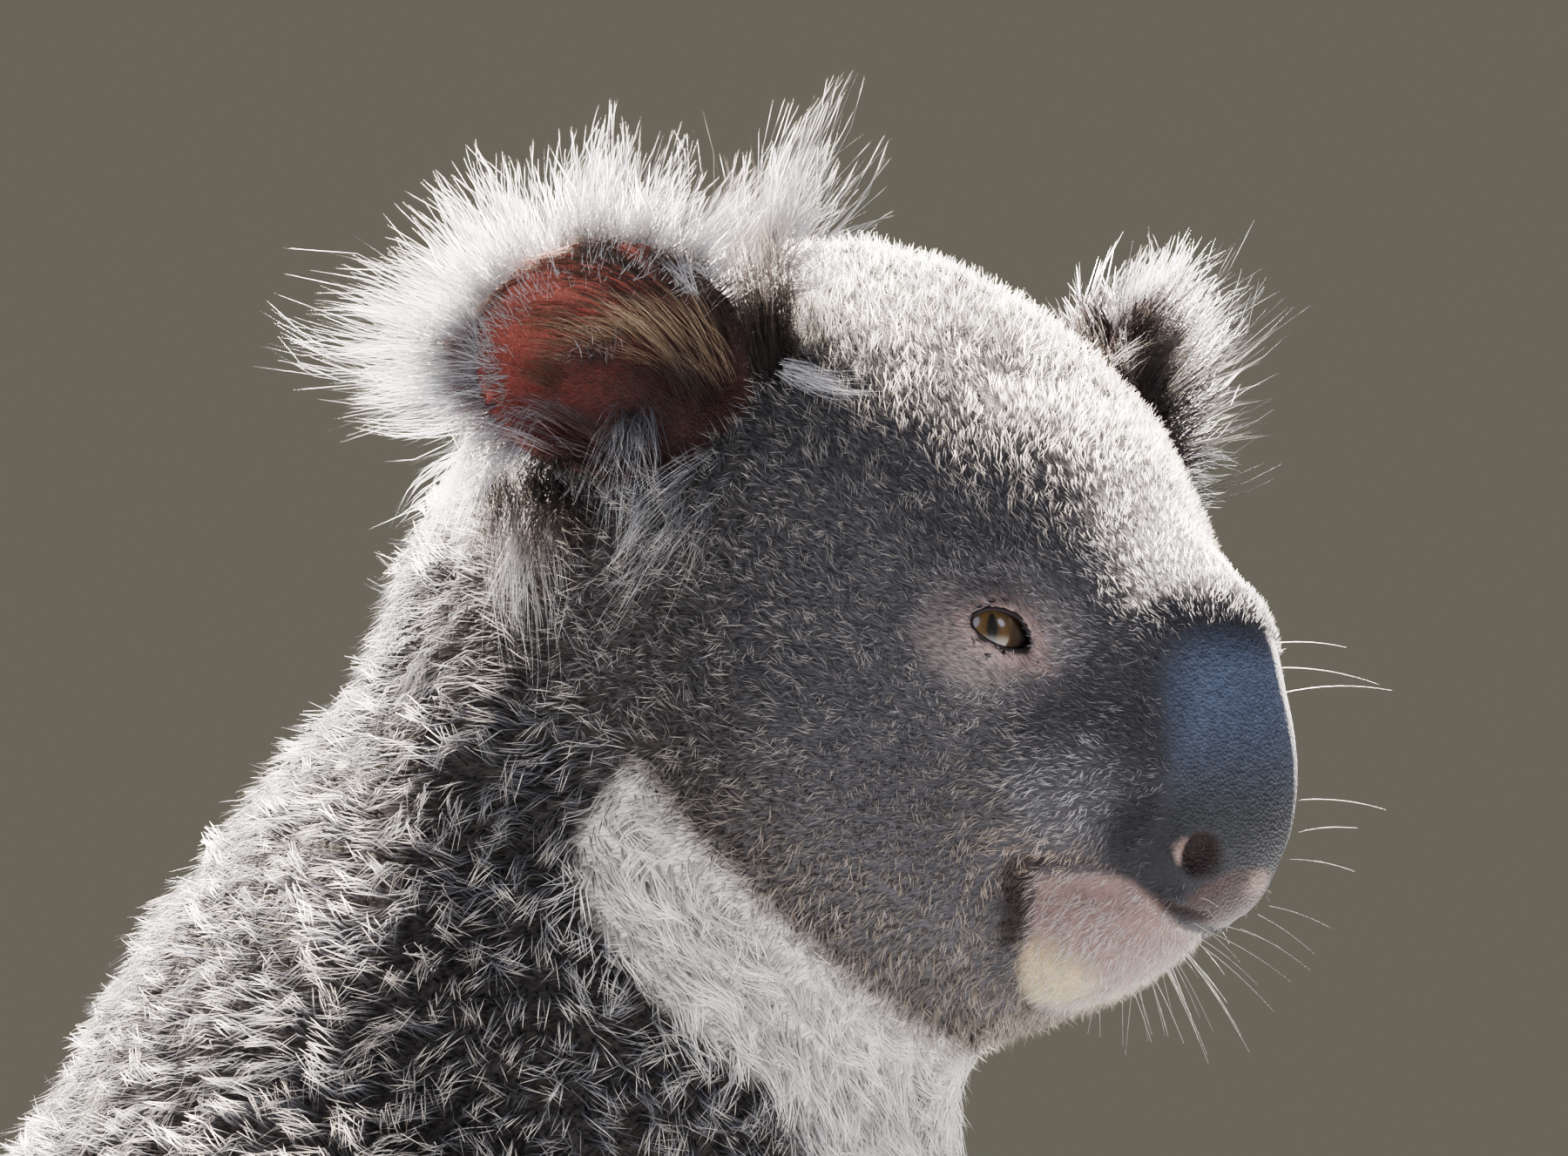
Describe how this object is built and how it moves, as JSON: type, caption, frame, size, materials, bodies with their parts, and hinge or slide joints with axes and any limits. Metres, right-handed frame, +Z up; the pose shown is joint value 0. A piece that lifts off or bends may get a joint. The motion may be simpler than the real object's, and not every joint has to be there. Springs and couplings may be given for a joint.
{
  "type": "koala model",
  "caption": "Life-size still model of a seated adult koala with its head raised and turned, for display on a floor or table.",
  "frame": {"origin": "on the floor under the middle of the seat, at the flat of the rump", "axes": "+Z up; the trunk faces -Y; the animal's left is +X; the head is turned 25 degrees to its right"},
  "size_m": [0.3094, 0.3931, 0.4621],
  "materials": {
    "fur": "dense soft grey-brown fur with pale tips",
    "ear_fur": "long white fringe over brown skin",
    "chin_skin": "pinkish skin under short white hairs",
    "nose_leather": "fine-grained bare nose skin, satin",
    "eye": "wet, glossy",
    "claw": "dark polished horn"
  },
  "bodies": {
    "root": {"trunk": "fur", "neck": "fur", "head": "fur", "lower_jaw": "chin_skin", "nose": "nose_leather", "ear_left": "ear_fur", "ear_right": "ear_fur", "eye_left": "eye", "eye_right": "eye", "upper_arm_left": "fur", "forearm_left": "fur", "hand_left": "fur", "thigh_left": "fur", "shin_left": "fur", "foot_left": "fur", "claw_hand_left_1": "claw", "claw_hand_left_2": "claw", "claw_hand_left_3": "claw", "claw_hand_left_4": "claw", "claw_hand_left_5": "claw", "claw_foot_left_2": "claw", "claw_foot_left_3": "claw", "claw_foot_left_4": "claw", "claw_foot_left_5": "claw", "upper_arm_right": "fur", "forearm_right": "fur", "hand_right": "fur", "thigh_right": "fur", "shin_right": "fur", "foot_right": "fur", "claw_hand_right_1": "claw", "claw_hand_right_2": "claw", "claw_hand_right_3": "claw", "claw_hand_right_4": "claw", "claw_hand_right_5": "claw", "claw_foot_right_2": "claw", "claw_foot_right_3": "claw", "claw_foot_right_4": "claw", "claw_foot_right_5": "claw"}
  },
  "joints": []
}
